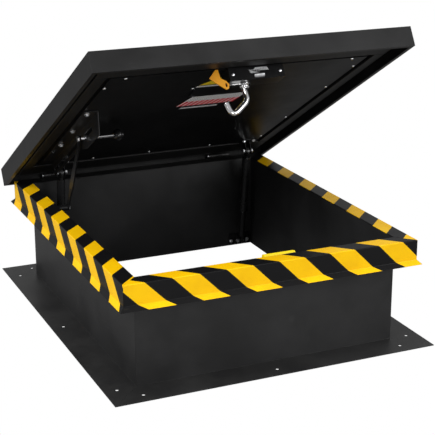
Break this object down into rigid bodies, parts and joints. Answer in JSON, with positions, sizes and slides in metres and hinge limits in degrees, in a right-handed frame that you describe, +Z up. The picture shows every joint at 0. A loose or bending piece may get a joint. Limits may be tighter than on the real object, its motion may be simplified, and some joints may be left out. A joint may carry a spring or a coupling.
{
  "type": "roof access hatch",
  "caption": "Roof access hatch: flanged black metal curb with a hazard-striped cap, hinged insulated cover, telescoping lift tubes, slotted hold-open arm and handled latch.",
  "frame": {"origin": "middle of the curb's footprint, on the roof surface under the flange", "axes": "+X right along the front, +Y from the front to the hinge side, +Z up; the cover stands open 30 degrees"},
  "size_m": [0.944, 1.1024, 0.8706],
  "materials": {
    "black": "satin black powder coat",
    "chrome": "polished",
    "foam": "rigid foam board",
    "hazard": "yellow and black striped tape over black powder coat",
    "orange": "orange paint",
    "plastic": "semi-gloss black",
    "rubber": "matt",
    "steel": "plain",
    "yellow": "yellow paint",
    "zinc": "bright zinc plate"
  },
  "bodies": {
    "curb": {"curb_front": "black", "curb_right": "black", "curb_rear": "black", "curb_left": "black", "cap_front": "hazard", "cap_right": "hazard", "cap_rear": "black", "cap_left": "hazard", "hinge_curb_leaf_left": "black", "hinge_pin_left": "zinc", "lift_foot_bracket_left": "black", "lift_foot_pin_left": "zinc", "hinge_curb_leaf_right": "black", "hinge_pin_right": "zinc", "lift_foot_bracket_right": "black", "lift_foot_pin_right": "zinc", "arm_curb_bracket": "black", "arm_pivot_bolt": "zinc", "strike_bar": "yellow", "strike_bracket": "black"},
    "cover": {"cover_shell": "black", "cover_insulation": "foam", "cover_liner": "black", "gasket_front": "rubber", "gasket_rear": "rubber", "gasket_left": "rubber", "gasket_right": "rubber", "slotted_bracket": "black", "latch_housing": "black", "outside_rose": "zinc", "inside_rose": "chrome", "lock_tab": "orange", "hinge_cover_leaf_left": "black", "lift_head_bracket_left": "black", "lift_head_pin_left": "zinc", "hinge_cover_leaf_right": "black", "lift_head_bracket_right": "black", "lift_head_pin_right": "zinc"},
    "hold_open_arm": {"hold_open_arm": "black", "arm_pin": "zinc", "arm_spacer": "steel", "release_rod": "chrome", "release_knob": "plastic"},
    "latch_spindle": {"latch_spindle": "zinc", "inside_handle": "chrome", "outside_handle": "zinc"},
    "latch_bolt": {"latch_bolt": "zinc"},
    "lift_inner_left": {"lift_inner_tube_left": "black", "lift_spring_left": "steel"},
    "lift_outer_left": {"lift_outer_tube_left": "black", "lift_bush_left": "plastic"},
    "lift_inner_right": {"lift_inner_tube_right": "black", "lift_spring_right": "steel"},
    "lift_outer_right": {"lift_outer_tube_right": "black", "lift_bush_right": "plastic"}
  },
  "joints": [
    {"name": "cover_hinge", "type": "hinge", "parent": "curb", "child": "cover", "pos_m": [0, 0.524, 0.306], "axis": [-1, 0, 0], "range_deg": [-30, 40]},
    {"name": "lift_tilt_left", "type": "hinge", "parent": "curb", "child": "lift_inner_left", "pos_m": [-0.306, 0.434, 0.022], "axis": [-1, 0, 0], "range_deg": [-6, 8]},
    {"name": "lift_slide_left", "type": "slide", "parent": "lift_inner_left", "child": "lift_outer_left", "axis": [0, -0.11, 0.9939], "range_m": [-0.063, 0.084], "deforming": ["lift_spring_left"]},
    {"name": "lift_tilt_right", "type": "hinge", "parent": "curb", "child": "lift_inner_right", "pos_m": [0.336, 0.434, 0.022], "axis": [-1, 0, 0], "range_deg": [-6, 8]},
    {"name": "lift_slide_right", "type": "slide", "parent": "lift_inner_right", "child": "lift_outer_right", "axis": [0, -0.11, 0.9939], "range_m": [-0.063, 0.084], "deforming": ["lift_spring_right"]},
    {"name": "arm_pivot", "type": "hinge", "parent": "curb", "child": "hold_open_arm", "pos_m": [-0.343, 0.215, 0.29], "axis": [-1, 0, 0], "range_deg": [-62.5, 83.5]},
    {"name": "latch_turn", "type": "hinge", "parent": "cover", "child": "latch_spindle", "pos_m": [0, -0.27901, 0.75114], "axis": [0, -0.5, -0.866], "range_deg": [0, 60]},
    {"name": "latch_throw", "type": "slide", "parent": "cover", "child": "latch_bolt", "axis": [0, -0.866, 0.5], "range_m": [0, 0.0165]}
  ],
  "couplings": [
    {"joint": "lift_tilt_left", "follows": "cover_hinge", "ratio": 0.19079},
    {"joint": "lift_slide_left", "follows": "cover_hinge", "m_per_rad": 0.11891},
    {"joint": "lift_tilt_right", "follows": "cover_hinge", "ratio": 0.19079},
    {"joint": "lift_slide_right", "follows": "cover_hinge", "m_per_rad": 0.11891},
    {"joint": "arm_pivot", "follows": "cover_hinge", "ratio": 2.074},
    {"joint": "latch_throw", "follows": "latch_turn", "m_per_rad": 0.015279}
  ]
}
